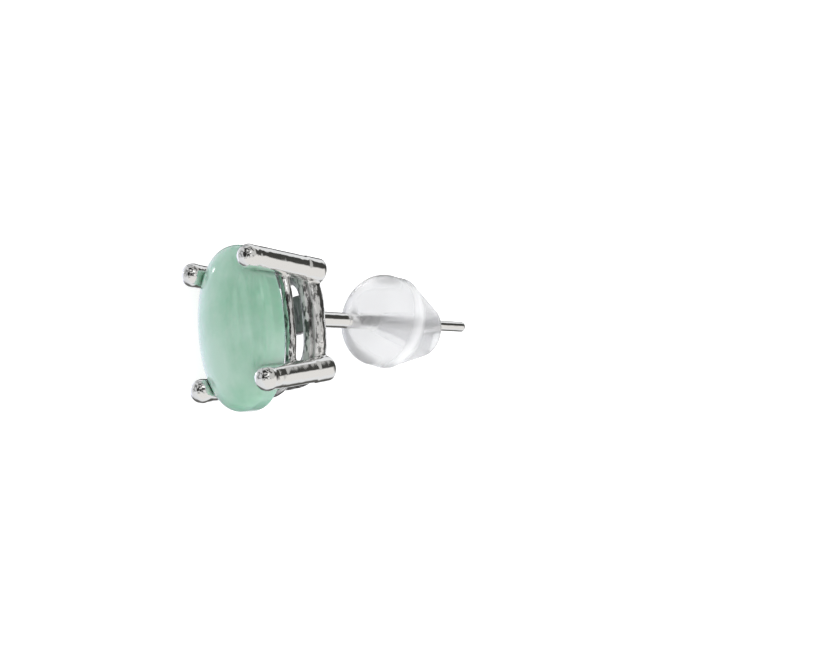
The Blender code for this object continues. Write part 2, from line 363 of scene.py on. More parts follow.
class RailPath:
    """A rounded oval in the XZ plane, kept as a table of distances to it."""

    REACH = 3.3 * MM
    PITCH = 0.03 * MM
    STEPS = 360

    def __init__(self, half_x, half_z):
        angles = 2 * np.pi * np.arange(self.STEPS) / self.STEPS
        cosines = np.cos(angles)
        sines = np.sin(angles)
        size = (np.abs(cosines) ** RAIL_POWER + np.abs(sines) ** RAIL_POWER) ** (-1 / RAIL_POWER)
        path = np.stack([half_x * size * cosines, half_z * size * sines], 1)
        side = np.arange(0, self.REACH, self.PITCH)
        spots = np.stack(np.meshgrid(side, side, indexing="ij"), -1).reshape(-1, 1, 2)
        step = np.roll(path, -1, 0) - path
        share = ((spots - path) * step).sum(-1) / (step ** 2).sum(-1)
        nearest = path + np.clip(share, 0, 1)[..., None] * step
        distance = np.sqrt(((spots - nearest) ** 2).sum(-1)).min(1)
        self.table = distance.reshape(len(side), len(side)).astype(np.float32)

    def distance(self, x, z):
        """Distance in the plane. One quarter is kept, because the oval is the same on all sides."""
        across = np.minimum(np.abs(x) / self.PITCH, len(self.table) - 1.001)
        along = np.minimum(np.abs(z) / self.PITCH, len(self.table) - 1.001)
        i = across.astype(int)
        k = along.astype(int)
        u = across - i
        v = along - k
        near = self.table[i, k] * (1 - u) + self.table[i + 1, k] * u
        far = self.table[i, k + 1] * (1 - u) + self.table[i + 1, k + 1] * u
        return near * (1 - v) + far * v


def stone_distance(points, stone):
    """Distance from the cabochon, measured towards its middle."""
    x, y, z = points.T
    z = z + STONE_DROP
    across = (np.abs(x / (stone.width / 2)) ** OUTLINE_POWER
              + np.abs(z / (stone.length / 2)) ** OUTLINE_POWER) ** (1 / OUTLINE_POWER)
    dome = (across ** DOME_POWER + (np.maximum(-y, 0) / stone.dome) ** DOME_POWER) ** (1 / DOME_POWER)
    reach = np.sqrt(x * x + z * z + np.minimum(y, 0) ** 2)
    return np.maximum(reach * (1 - 1 / np.maximum(dome, 1e-6)), y - stone.wall)


def prong_tip(prong, stone, setting):
    """Centre of a prong's ball, which overlaps the stone's edge by PRONG_GRIP."""
    place = math.radians(PRONG_PLACE_DEG)
    half_x = stone.width / 2
    half_z = stone.length / 2
    normal = Vector((math.cos(place) / half_x, 0, math.sin(place) / half_z)).normalized()
    edge = Vector((half_x * math.cos(place), 0, half_z * math.sin(place)))
    tip = edge + normal * (setting.ball_radius - PRONG_GRIP)
    return Vector((tip.x * prong["side"], -TIP_FORWARD * prong["reach"], tip.z * prong["end"]))


def prong_rear(prong, stone, setting):
    tip = prong_tip(prong, stone, setting)
    return Vector((tip.x, HEAD_BACK - PRONG_END_INSET, tip.z - PRONG_LEAN * prong["end"]))


def prong_height_at(y, stone, setting):
    """Distance in Z of the prongs' axes from the middle, at a distance behind the girdle."""
    tip = prong_tip(PRONGS[0], stone, setting)
    rear = prong_rear(PRONGS[0], stone, setting)
    return tip.z + (rear.z - tip.z) * (y - tip.y) / (rear.y - tip.y)


def prong_distance(points, prong, stone, setting):
    """One prong: its wire, the ball on its tip, and the slightly thicker knuckle at its rear."""
    tip = prong_tip(prong, stone, setting)
    rear = prong_rear(prong, stone, setting)
    forward = (tip - rear).normalized()
    wire = wire_distance(points, rear, forward, (tip - rear).length, setting.prong_radius,
                         PRONG_END_ROUND)
    ball = ball_distance(points, tip, setting.ball_radius * prong["ball"])
    inset = rear - Vector((KNUCKLE_RISE * prong["side"], 0, 0))
    knuckle = wire_distance(points, inset, forward, KNUCKLE_LENGTH, setting.prong_radius + KNUCKLE_RISE,
                            PRONG_END_ROUND / 2)
    return blend_min(blend_min(wire, ball, PRONG_NECK_BLEND), knuckle, PRONG_NECK_BLEND)


def prongs_distance(points, stone, setting):
    return np.min([prong_distance(points, prong, stone, setting) for prong in PRONGS], 0)


def post_start():
    return Vector((0, HEAD_BACK - BAR_FACE_INSET, POST_RISE))


def post_direction():
    droop = math.radians(POST_DROOP_DEG)
    return Vector((0, math.cos(droop), -math.sin(droop)))


def post_distance(points, setting):
    """The post, thinner from where the nut hides it to its end."""
    start = post_start() - post_direction() * BAR_THICKNESS / 2
    length = setting.post_length + BAR_THICKNESS / 2
    along = (points - np.array(start, np.float32)) @ np.array(post_direction(), np.float32)
    taper_end = length - POST_TIP_LENGTH
    taper = (taper_end - POST_TAPER_LENGTH, taper_end)
    radius = np.interp(along, taper, (setting.post_radius, POST_TIP_RADIUS)).astype(np.float32)
    return wire_distance(points, start, post_direction(), length, radius, POST_END_ROUND)


class MetalShape:
    """Everything that is soldered together, as one distance."""

    def __init__(self, stone, setting):
        self.stone = stone
        self.setting = setting
        rear = prong_rear(PRONGS[0], stone, setting)
        self.back_half_x = rear.x - BACK_RAIL_INSET
        self.back_half_z = rear.z + BACK_RAIL_BOW
        self.back_path = RailPath(self.back_half_x, self.back_half_z)
        front_z = prong_height_at(FRONT_RAIL_BACK, stone, setting) + FRONT_RAIL_BOW
        self.front_path = RailPath(rear.x, front_z)

    def crease(self, points):
        """Distance from the back rail's wire, and 1 in the crease that runs along its front."""
        x, y, z = points.T
        radius = self.setting.back_rail_radius
        behind = y - (HEAD_BACK - radius)
        beside = self.back_path.distance(x, z)
        size = np.abs(x / self.back_half_x) ** RAIL_POWER + np.abs(z / self.back_half_z) ** RAIL_POWER
        around = np.arctan2(behind, np.where(size > 1, beside, -beside))
        share = np.exp(-((around + math.radians(CREASE_TURN_DEG)) / CREASE_WIDTH) ** 2)
        return np.hypot(beside, behind) - radius, share

    def rails(self, points):
        x, y, z = points.T
        setting = self.setting
        back, crease = self.crease(points)
        back = back + CREASE_DEPTH * crease
        front = np.hypot(self.front_path.distance(x, z), y - FRONT_RAIL_BACK) - setting.front_rail_radius
        bar_y = HEAD_BACK - BAR_FACE_INSET - BAR_THICKNESS / 2
        bar = box_distance(points, (0, bar_y, POST_RISE),
                           (self.back_half_x, BAR_THICKNESS / 2, BAR_HEIGHT / 2), BAR_EDGE_ROUND)
        return np.minimum(blend_min(back, bar, setting.solder), front)

    def distance(self, points):
        solder = self.setting.solder
        metal = blend_min(self.rails(points), prongs_distance(points, self.stone, self.setting), solder)
        metal = blend_min(metal, post_distance(points, self.setting), solder)
        seat = stone_distance(points, self.stone) - SEAT_GAP
        return -blend_min(-metal, seat, SEAT_EDGE_ROUND)

    def slope(self, points):
        """The distance and its gradient."""
        gradient = np.empty_like(points)
        for axis in range(3):
            shift = np.zeros(3, np.float32)
            shift[axis] = SLOPE_STEP
            ahead = self.distance(points + shift)
            behind = self.distance(points - shift)
            gradient[:, axis] = (ahead - behind) / (2 * SLOPE_STEP)
        return self.distance(points), gradient


def grid_values(shape, low, high, pitch):
    """The shape's distance at every point of a grid, one slice of the grid at a time."""
    axes = [np.arange(low[i], high[i], pitch, dtype=np.float32) for i in range(3)]
    across, along = np.meshgrid(axes[0], axes[2], indexing="ij")
    values = np.empty([len(axis) for axis in axes], np.float32)
    for k, y in enumerate(axes[1]):
        points = np.stack([across.ravel(), np.full(across.size, y, np.float32), along.ravel()], 1)
        values[:, k, :] = shape.distance(points).reshape(across.shape)
    return values


CORNERS = [(i, j, k) for i in (0, 1) for j in (0, 1) for k in (0, 1)]


def skin_cells(values):
    """The grid cells that the surface passes through, and the middle of its crossings in each."""
    size = [n - 1 for n in values.shape]
    inside = values < 0
    count = np.zeros(size, np.int8)
    for i, j, k in CORNERS:
        count += inside[i:i + size[0], j:j + size[1], k:k + size[2]]
    cells = np.argwhere((count > 0) & (count < 8))
    total = np.zeros((len(cells), 3))
    crossings = np.zeros((len(cells), 1))
    for first in CORNERS:
        for axis in range(3):
            if first[axis]:
                continue
            second = list(first)
            second[axis] = 1
            a = values[tuple((cells + first).T)]
            b = values[tuple((cells + second).T)]
            crossed = (a < 0) != (b < 0)
            share = np.where(crossed, a / np.where(crossed, a - b, 1), 0)
            place = np.tile(np.array(first, float), (len(cells), 1))
            place[:, axis] = share
            total += place * crossed[:, None]
            crossings += crossed[:, None]
    return cells, cells + total / crossings


def skin_quads(values, cells):
    """Four cells around every grid edge that the surface crosses, turned outwards."""
    number = np.full([n - 1 for n in values.shape], -1, np.int32)
    number[tuple(cells.T)] = np.arange(len(cells))
    inside = values < 0
    quads = []
    for axis in range(3):
        ahead = np.roll(inside, -1, axis)
        edges = np.argwhere(inside != ahead)
        edges = edges[(edges.min(1) > 0) & (edges < np.array(values.shape) - 1).all(1)]
        u = np.zeros(3, int)
        v = np.zeros(3, int)
        u[(axis + 1) % 3] = 1
        v[(axis + 2) % 3] = 1
        around = [number[tuple((edges - shift).T)] for shift in (0 * u, u, u + v, v)]
        ring = np.stack(around, 1)
        leaving = inside[tuple(edges.T)]
        ring[~leaving] = ring[~leaving][:, ::-1]
        quads.append(ring)
    return np.concatenate(quads)


def skin_points(shape):
    """Points and quads of the skin, set exactly on the shape, and the outward normal of each point."""
    values = grid_values(shape, SKIN_LOW, SKIN_HIGH, SKIN_PITCH)
    cells, places = skin_cells(values)
    points = (np.array(SKIN_LOW) + places * SKIN_PITCH).astype(np.float32)
    for _ in range(SETTLE_ROUNDS):
        distance, gradient = shape.slope(points)
        steepness = np.maximum((gradient ** 2).sum(1), LEAST_STEEPNESS)
        points -= gradient * np.clip(distance / steepness, -SKIN_PITCH, SKIN_PITCH)[:, None]
    normals = gradient / np.linalg.norm(gradient, axis=1, keepdims=True)
    return points, skin_quads(values, cells), normals


def metal_marks(shape, points, normals):
    """How far each point is cast, recessed and beaten, and how much painted shade it takes away from the
    upper +X side, in the crease and on cast faces turned to the front, from 0 to 1.
    """
    stone = shape.stone
    setting = shape.setting
    plain = np.minimum(prongs_distance(points, stone, setting), post_distance(points, setting))
    cast = np.clip(plain / CAST_EDGE, 0, 1)
    wire, crease = shape.crease(points)
    crease = crease * np.clip(CREASE_REACH - np.abs(wire) / CREASE_DEPTH, 0, 1)
    # Painted shade on cast faces turned forward or sideways behind the front rail, where the stone shades
    # them, and in the crease
    turned = np.clip(1 - 2 * normals[:, 1], 0, 1) * (points[:, 1] > RECESS_FRONT)
    tips = [np.array(prong_tip(prong, stone, setting)) for prong in PRONGS]
    ball = np.min([((points - tip) ** 2).sum(1) ** 0.5 for tip in tips], 0)
    # Painted shade on all but the upper +X side of the head, fading out towards it; the crease's share is
    # added to it as painted shade too
    basket_shade = LOWER_SHADE * np.clip((LOWER_SHADE_X - points[:, 0]) / LOWER_SHADE_FADE, 0, 1)
    return {
        "cast": cast,
        # Recessed metal: rougher, less metallic, and darkened with painted shade in the material
        "recess": RECESS_SHADE_AND_DULL * recessed(points, normals),
        "basket_shade": np.maximum(basket_shade, crease),
        "beaten": np.clip(2 * (BEATEN_REACH - ball / setting.ball_radius), 0, 1),
        "turned_and_crease_shade": np.maximum(CAST_SHADE * cast * turned, crease),
    }


def mark_points(mesh, marks):
    """Keep each mark as a value on every point, where the material reads it."""
    for name, values in marks.items():
        attribute = mesh.attributes.new(name, "FLOAT", "POINT")
        attribute.data.foreach_set("value", np.asarray(values, np.float32))


def setting_mesh(stone, setting):
    """One skin over all the metal, roughened like a casting."""
    shape = MetalShape(stone, setting)
    points, quads, normals = skin_points(shape)
    marks = metal_marks(shape, points, normals)
    points = roughened(points, normals, marks["cast"])
    mesh = bpy.data.meshes.new("setting_metal")
    mesh.from_pydata(points.tolist(), [], quads.tolist())
    mark_points(mesh, marks)
    return mesh


def recessed(points, normals):
    """1 on metal that faces into the basket, where no polishing wheel reaches and painted shade darkens
    it, and 0 outside.
    """
    x, y, z = points.T
    away = np.maximum(np.hypot(x, z), SMALLEST_RADIUS)
    inward = -(normals[:, 0] * x + normals[:, 2] * z) / away
    forward = np.where(y > RECESS_REAR, -normals[:, 1], 0)
    facing = np.clip(np.maximum(inward, forward) * RECESS_GAIN - RECESS_START, 0, 1)
    within = np.clip((y - RECESS_FRONT) / RECESS_FADE, 0, 1) * (y < HEAD_BACK)
    return facing * within


def roughened(points, normals, cast):
    """Slight waves, deeper on the cast rails than on the polished wires, and drawn out along them."""
    depth = WIRE_DEPTH + (CAST_DEPTH - WIRE_DEPTH) * cast
    places = points * CAST_STRETCH / CAST_SIZE
    waves = np.array([noise.noise(place) for place in places.tolist()])
    finer = np.array([noise.noise(place) for place in (places * CAST_OCTAVE).tolist()])
    return points + normals * (depth * (waves + CAST_OCTAVE_DEPTH * finer))[:, None]


# Shader helpers

MIX_FIRST = 6
MIX_SECOND = 7
MIX_RESULT = 2


def new_material(name):
    material = bpy.data.materials.new(name)
    material.use_nodes = True
    return material, material.node_tree, material.node_tree.nodes["Principled BSDF"]


def add_node(tree, kind, **values):
    """A shader node with its own settings, and its inputs by name where they have one."""
    node = tree.nodes.new(kind)
    for key, value in values.items():
        if key in node.inputs:
            node.inputs[key].default_value = value
        else:
            setattr(node, key, value)
    return node


def add_noise(tree, place, size, detail=3.0, roughness=0.5):
    """Noise whose features have a size in metres."""
    node = add_node(tree, "ShaderNodeTexNoise", Scale=1 / size, Detail=detail, Roughness=roughness)
    tree.links.new(place, node.inputs["Vector"])
    return node.outputs["Fac"]


def add_range(tree, source, from_min, from_max, to_min, to_max):
    node = tree.nodes.new("ShaderNodeMapRange")
    node.inputs["From Min"].default_value = from_min
    node.inputs["From Max"].default_value = from_max
    node.inputs["To Min"].default_value = to_min
    node.inputs["To Max"].default_value = to_max
    tree.links.new(source, node.inputs["Value"])
    return node.outputs["Result"]


def add_mix(tree, factor, first, second):
    """A colour mix. Each colour is a tuple or another socket."""
    node = tree.nodes.new("ShaderNodeMix")
    node.data_type = "RGBA"
    tree.links.new(factor, node.inputs["Factor"])
    for value, socket in ((first, node.inputs[MIX_FIRST]), (second, node.inputs[MIX_SECOND])):
        if isinstance(value, bpy.types.NodeSocket):
            tree.links.new(value, socket)
        else:
            socket.default_value = (*value, 1.0)
    return node.outputs[MIX_RESULT]


def add_maths(tree, operation, first, second):
    node = tree.nodes.new("ShaderNodeMath")
    node.operation = operation
    for value, socket in ((first, node.inputs[0]), (second, node.inputs[1])):
        if isinstance(value, bpy.types.NodeSocket):
            tree.links.new(value, socket)
        else:
            socket.default_value = value
    return node.outputs[0]


def add_bump(tree, height, depth, before=None):
    node = add_node(tree, "ShaderNodeBump", Strength=1.0, Distance=depth)
    tree.links.new(height, node.inputs["Height"])
    if before:
        tree.links.new(before, node.inputs["Normal"])
    return node.outputs["Normal"]


def add_mark(tree, name):
    """A mark that the mesh keeps on its points."""
    return add_node(tree, "ShaderNodeAttribute", attribute_name=name).outputs["Fac"]


def make_silver(setting):
    """Bright plated silver: polished wires, and rails that keep the grain of the casting. Painted shade
    darkens its recesses, the crease and cast faces turned to the front, fully away from the upper +X side
    and in patches near it.
    """
    material, tree, shader = new_material("plated_silver")
    place = tree.nodes.new("ShaderNodeTexCoord").outputs["Object"]
    drawn = add_node(tree, "ShaderNodeMapping", Scale=GRAIN_STRETCH)
    tree.links.new(place, drawn.inputs["Vector"])
    drawn = drawn.outputs["Vector"]
    recess = add_mark(tree, "recess")
    # Painted shade: the base colour turns near black in noise patches where the metal is recessed,
    # creased or turned to the front, fully away from the upper +X side
    shade_patches = add_range(tree, add_noise(tree, drawn, SHADE_PATCH_SIZE, 4.0, 0.7), 0.42, 0.50, 0.95, 0.0)
    shade_patches = add_maths(tree, "MAXIMUM", shade_patches, add_mark(tree, "basket_shade"))
    shaded = add_maths(tree, "MAXIMUM", recess, add_mark(tree, "turned_and_crease_shade"))
    shaded = add_maths(tree, "MULTIPLY", shaded, shade_patches)
    shade_colour = [channel * SHADE_SHARE for channel in setting.colour]
    tree.links.new(add_mix(tree, shaded, tuple(setting.colour), shade_colour), shader.inputs["Base Color"])
    fine = add_noise(tree, place, SCRATCH_SIZE, 2.0)
    worn = add_range(tree, fine, 0.3, 0.7, *POLISH)
    unpolished = add_maths(tree, "MULTIPLY", recess, RECESS_ROUGHNESS)
    tree.links.new(add_maths(tree, "ADD", worn, unpolished), shader.inputs["Roughness"])
    matt = add_maths(tree, "MULTIPLY", recess, add_range(tree, shade_patches, 0.0, 1.0, RECESS_OXIDE, 0.0))
    tree.links.new(add_maths(tree, "SUBTRACT", 1.0, matt), shader.inputs["Metallic"])
    tree.links.new(add_silver_relief(tree, place, drawn, fine), shader.inputs["Normal"])
    return material


def add_silver_relief(tree, place, drawn, fine):
    """Grain where the metal is cast, small dents on the balls, and fine scratches everywhere."""
    grain = add_noise(tree, drawn, GRAIN_SIZE, 2.0)
    cast = add_maths(tree, "ADD", add_mark(tree, "cast"), WIRE_GRAIN)
    grained = add_bump(tree, add_maths(tree, "MULTIPLY", grain, cast), GRAIN_DEPTH)
    dents = add_maths(tree, "MULTIPLY", add_noise(tree, place, DENT_SIZE, 1.0), add_mark(tree, "beaten"))
    return add_bump(tree, fine, SCRATCH_DEPTH, add_bump(tree, dents, DENT_DEPTH, grained))


def make_green_stone(stone):
    """Cloudy green beryl under a glassy polish, with a painted pale blue sheen where it is seen at a low
    angle.
    """
    material, tree, shader = new_material("cloudy_green_stone")
    place = tree.nodes.new("ShaderNodeTexCoord").outputs["Object"]
    clouds = add_range(tree, add_noise(tree, place, CLOUD_SIZE, 4.0, 0.6), 0.35, 0.65, 0.0, 1.0)
    body = add_mix(tree, clouds, tuple(stone.colour), tuple(stone.cloud_colour))
    # Painted sheen: pale blue mixed into the body where the surface is seen at a low angle, standing in
    # for the light it catches there
    facing = add_node(tree, "ShaderNodeLayerWeight", Blend=0.5).outputs["Facing"]
    painted_sheen = add_range(tree, facing, 0.30, 1.0, 0.0, 0.22)
    tree.links.new(add_mix(tree, painted_sheen, body, tuple(stone.sheen_colour)), shader.inputs["Base Color"])
    shader.inputs["Roughness"].default_value = 0.09
    shader.inputs["IOR"].default_value = STONE_IOR
    shader.inputs["Subsurface Weight"].default_value = 0.7
    shader.inputs["Subsurface Radius"].default_value = (0.5, 1.0, 0.75)
    shader.inputs["Subsurface Scale"].default_value = STONE_SCATTER
    shader.inputs["Coat Weight"].default_value = 0.8
    shader.inputs["Coat Roughness"].default_value = 0.03
    shader.inputs["Coat IOR"].default_value = 1.5
    return material


def make_silicone(nut):
    """Clear soft silicone with a faint haze, less clear in its rim, with a painted pale highlight there
    and painted grey shade where its bore flares.
    """
    material, tree, shader = new_material("clear_silicone")
    # Painted light: a pale highlight mixed into the rim, and grey shade into the bore where it flares
    rim = add_mark(tree, "rim")
    body = add_mix(tree, rim, tuple(nut.colour), tuple(nut.rim_highlight_colour))
    body = add_mix(tree, add_mark(tree, "flare"), body, tuple(nut.flare_shade_colour))
    tree.links.new(body, shader.inputs["Base Color"])
    place = tree.nodes.new("ShaderNodeTexCoord").outputs["Object"]
    haze = add_range(tree, add_noise(tree, place, HAZE_SIZE), 0.3, 0.7, *HAZE_ROUGHNESS)
    tree.links.new(haze, shader.inputs["Roughness"])
    shader.inputs["IOR"].default_value = SILICONE_IOR
    clear = add_range(tree, rim, 0.0, 1.0, SILICONE_CLEAR, RIM_CLEAR)
    tree.links.new(clear, shader.inputs["Transmission Weight"])
    return material


# Turned shapes

def skinned(name, rings, looped=False):
    """A mesh over rings of equal count. It closes on itself, or else with a face at each end."""
    bm = bmesh.new()
    rows = [[bm.verts.new(point) for point in ring] for ring in rings]
    following = rows[1:] + rows[:1] if looped else rows[1:]
    count = len(rows[0])
    for first, second in zip(rows, following):
        for i in range(count):
            after = (i + 1) % count
            bm.faces.new((first[i], first[after], second[after], second[i]))
    if not looped:
        bm.faces.new(reversed(rows[0]))
        bm.faces.new(rows[-1])
    bmesh.ops.recalc_face_normals(bm, faces=bm.faces)
    mesh = bpy.data.meshes.new(name)
    bm.to_mesh(mesh)
    bm.free()
    return mesh


def stone_outline():
    """The girdle's outline, a slightly squared oval with half sizes of 1."""
    outline = []
    for i in range(STONE_SIDES):
        across = math.cos(2 * math.pi * i / STONE_SIDES)
        along = math.sin(2 * math.pi * i / STONE_SIDES)
        size = (abs(across) ** OUTLINE_POWER + abs(along) ** OUTLINE_POWER) ** (-1 / OUTLINE_POWER)
        outline.append((across * size, along * size))
    return outline


def stone_profile(stone):
    """Share of the outline, Y and inset of each ring, from the dome's top to the back's middle."""
    profile = []
    for i in range(DOME_RINGS + 1):
        share = math.sin(math.pi / 2 * (i + DOME_TOP) / (DOME_RINGS + DOME_TOP))
        profile.append((share, -stone.dome * (1 - share ** DOME_POWER) ** (1 / DOME_POWER), 0))
    flat = stone.wall - STONE_EDGE_ROUND
    profile += [(1, flat * i / WALL_RINGS, 0) for i in range(1, WALL_RINGS + 1)]
    for i in range(1, EDGE_RINGS + 1):
        angle = math.pi / 2 * i / EDGE_RINGS
        behind = STONE_EDGE_ROUND * math.sin(angle)
        profile.append((1, flat + behind, STONE_EDGE_ROUND * (1 - math.cos(angle))))
    for i in range(1, BACK_RINGS):
        profile.append((1 - i / BACK_RINGS, stone.wall, STONE_EDGE_ROUND * (1 - i / BACK_RINGS)))
    return profile


def stone_mesh(stone):
    """A full smooth dome, a short wall and a flat back with a rounded edge."""
    outline = stone_outline()
    rings = []
    for share, y, inset in stone_profile(stone):
        half_x = (stone.width / 2 - inset) * share
        half_z = (stone.length / 2 - inset) * share
        rings.append([(half_x * across, y, half_z * along - STONE_DROP) for across, along in outline])
    return skinned("cabochon", rings)


def nut_half_length():
    return (NUT_DOME + NUT_BAND + NUT_CONE) / 2


def nut_side(along, inner, rear):
    """Radius over the band and the cone, with the raised rim where they meet."""
    shoulder = NUT_DOME + NUT_BAND
    fall = max(along - shoulder, 0) / (rear[0] - shoulder)
    share = max(1 - abs(along - NUT_RIM_AT) * 2 / NUT_RIM_WIDTH, 0)
    return inner + (rear[1] - inner) * fall + NUT_RIM * math.sin(math.pi / 2 * share) ** 2


def nut_rear_edge(nut, turn):
    """Place on the rounded rear edge, at a turn from 0 at the cone to 1 at the rear face."""
    slope = math.atan2(nut.radius - NUT_REAR_RADIUS, NUT_CONE)
    angle = slope + (math.pi / 2 - slope) * turn
    end = NUT_DOME + NUT_BAND + NUT_CONE
    return (end - NUT_REAR_ROUND * (1 - math.sin(angle)),
            NUT_REAR_RADIUS - NUT_REAR_ROUND * (1 - math.cos(angle)))


def nut_profile(nut):
    """Distance along and radius, from the front face over the dome, band, rim and cone to the rear."""
    profile = []
    inner = nut.radius - NUT_RIM
    rise = inner - NUT_FRONT_RADIUS
    for i in range(NUT_DOME_STEPS + 1):
        angle = math.pi / 2 * i / NUT_DOME_STEPS
        along = 1 - max(math.cos(angle), 0) ** (2 / NUT_DOME_POWER)
        outward = math.sin(angle) ** (2 / NUT_DOME_POWER)
        profile.append((NUT_DOME * along, NUT_FRONT_RADIUS + rise * outward))
    rear = nut_rear_edge(nut, 0)
    for i in range(1, NUT_SIDE_STEPS):
        along = NUT_DOME + (rear[0] - NUT_DOME) * i / NUT_SIDE_STEPS
        profile.append((along, nut_side(along, inner, rear)))
    for i in range(NUT_REAR_STEPS + 1):
        profile.append(nut_rear_edge(nut, i / NUT_REAR_STEPS))
    return profile


def nut_outside(profile, cock, angles):
    """Rings of the nut's outside about its own middle, cocked on the post."""
    half = nut_half_length()
    return [[cock @ Vector((radius * math.cos(a), along - half, radius * math.sin(a))) for a in angles]
            for along, radius in profile]


def nut_bore(front, rear, lean, radius, angles):
    """Rings of the bore, from the rear end, where it is wide, to its waist and the front."""
    rings = []
    for i in range(BORE_STEPS + 1):
        share = i / BORE_STEPS
        opened = max(1 - share / BORE_WAIST, 0)
        wide = radius + BORE_FLARE * opened
        ring = []
        for a in angles:
            x = wide * math.cos(a) + lean.x * opened
            z = wide * math.sin(a) + lean.z * opened
            near = end_plane_y(front, x, z)
            far = end_plane_y(rear, x, z)
            ring.append(Vector((x, far + (near - far) * share, z)))
        rings.append(ring)
    return rings


def nut_marks(profile):
    """A painted pale highlight in the rim on the outside, and painted grey shade in the bore where it
    widens.
    """
    along = np.array([place for place, _ in profile])
    painted_sheen = np.clip(RIM_HIGHLIGHT_REACH - np.abs(along - NUT_RIM_AT) / (NUT_RIM_WIDTH * RIM_HIGHLIGHT_FADE), 0, 1)
    share = np.arange(BORE_STEPS + 1) / BORE_STEPS
    bore_shade = np.clip((BORE_WAIST - share) / FLARE_FADE, 0, 1) * np.clip(share / FLARE_REAR, 0, 1)
    return {
        "rim": np.repeat(np.concatenate([painted_sheen, 0 * bore_shade]), NUT_SIDES),
        "flare": np.repeat(np.concatenate([0 * painted_sheen, bore_shade]), NUT_SIDES),
    }


def nut_mesh(nut, setting):
    """The nut is cocked on the post, and its bore follows the post."""
    cock = Euler((-math.radians(NUT_COCK_DEG), 0, -math.radians(NUT_TURN_DEG))).to_matrix()
    line = Matrix.Translation(post_start()) @ Matrix.Rotation(-math.radians(POST_DROOP_DEG), 4, "X")
    centre = line @ Matrix.Translation((0, NUT_GAP + nut_half_length(), 0))
    angles = [2 * math.pi * i / NUT_SIDES for i in range(NUT_SIDES)]
    profile = nut_profile(nut)
    outside = nut_outside(profile, cock, angles)
    lean = cock @ Vector((0, nut_half_length(), 0))
    bore = nut_bore(outside[0], outside[-1], lean, setting.post_radius * BORE_FIT, angles)
    placed = [[centre @ point for point in ring] for ring in outside + bore]
    mesh = skinned("nut_skin", placed, looped=True)
    mark_points(mesh, nut_marks(profile))
    return mesh


def end_plane_y(ring, x, z):
    """Y of the plane of an end ring at a point of the bore."""
    middle = sum(ring, Vector()) / len(ring)
    normal = (ring[0] - middle).cross(ring[len(ring) // 4] - middle)
    return middle.y - (normal.x * (x - middle.x) + normal.z * (z - middle.z)) / normal.y


class EARRING_OT_setting(bpy.types.Operator):
    """Build the soldered metal setting"""
    bl_idname = "earring.setting"
    bl_label = "Setting"

    def execute(self, context):
        scene = context.scene
        mesh = setting_mesh(scene.earring_stone, scene.earring_setting)
        make_object("setting_metal", mesh, make_silver(scene.earring_setting), "stud", "setting")
        return {"FINISHED"}


class EARRING_OT_stone(bpy.types.Operator):
    """Build the oval cabochon"""
    bl_idname = "earring.stone"
    bl_label = "Stone"

    def execute(self, context):
        stone = context.scene.earring_stone
        make_object("cabochon", stone_mesh(stone), make_green_stone(stone), "stud", "stone")
        return {"FINISHED"}


class EARRING_OT_ear_nut(bpy.types.Operator):
    """Build the clear ear nut"""
    bl_idname = "earring.ear_nut"
    bl_label = "Ear nut"

    def execute(self, context):
        nut = context.scene.earring_nut
        make_object("silicone_nut", nut_mesh(nut, context.scene.earring_setting), make_silicone(nut),
                    "nut", "ear_nut")
        return {"FINISHED"}


def make_camera():
    data = bpy.data.cameras.new("photo_camera")
    data.sensor_width = 36
    data.lens = CAMERA_LENS_MM
    data.clip_start = 0.001
    data.clip_end = 10
    camera = bpy.data.objects.new("photo_camera", data)
    camera.location = CAMERA_AT
    camera.rotation_euler = [math.radians(turn) for turn in CAMERA_TURN_DEG]
    bpy.context.scene.collection.objects.link(camera)
    bpy.context.scene.camera = camera


def make_floor(stage):
    bm = bmesh.new()
    bmesh.ops.create_grid(bm, x_segments=FLOOR_CELLS, y_segments=FLOOR_CELLS, size=FLOOR_HALF)
    mesh = bpy.data.meshes.new("floor")
    bm.to_mesh(mesh)
    bm.free()
    floor = bpy.data.objects.new("floor", mesh)
    bpy.context.scene.collection.objects.link(floor)
    material, _, shader = new_material("plain_floor")
    shader.inputs["Base Color"].default_value = (*stage.floor_colour, 1.0)
    shader.inputs["Roughness"].default_value = 1.0
    shader.inputs["Specular IOR Level"].default_value = 0.0
    shader.inputs["Emission Color"].default_value = (1.0, 1.0, 1.0, 1.0)
    shader.inputs["Emission Strength"].default_value = stage.table_glow
    mesh.materials.append(material)
    floor.visible_glossy = False


def make_softbox(stage):
    """A large square softbox, aimed at the earring."""
    data = bpy.data.lights.new("softbox", "AREA")
    data.shape = "SQUARE"
    data.size = SOFTBOX_SIZE
    data.energy = stage.softbox_power
    light = bpy.data.objects.new("softbox", data)
    light.location = SOFTBOX_AT
    light.rotation_euler = (-Vector(SOFTBOX_AT)).to_track_quat("-Z", "Y").to_euler()
    light.visible_glossy = False
    bpy.context.scene.collection.objects.link(light)


def add_patch(tree, direction, towards, width_deg, soft_deg):
    """1 inside a round patch of the tent around a direction, falling to 0 outside it."""
    dot = add_node(tree, "ShaderNodeVectorMath", operation="DOT_PRODUCT")
    tree.links.new(direction, dot.inputs[0])
    dot.inputs[1].default_value = Vector(towards).normalized()
    inner = math.cos(math.radians(width_deg - soft_deg))
    outer = math.cos(math.radians(width_deg + soft_deg))
    return add_range(tree, dot.outputs["Value"], outer, inner, 0.0, 1.0)


def add_tilted(tree, parts, axis, tilt, level, soft):
    """0 to 1 where one part of the direction passes a level that shifts with Y behind the earring."""
    behind = add_maths(tree, "MULTIPLY", add_maths(tree, "MAXIMUM", parts.outputs["Y"], 0.0), tilt)
    height = add_maths(tree, "ADD", parts.outputs[axis], behind)
    return add_range(tree, height, level - soft, level + soft, 0, 1)


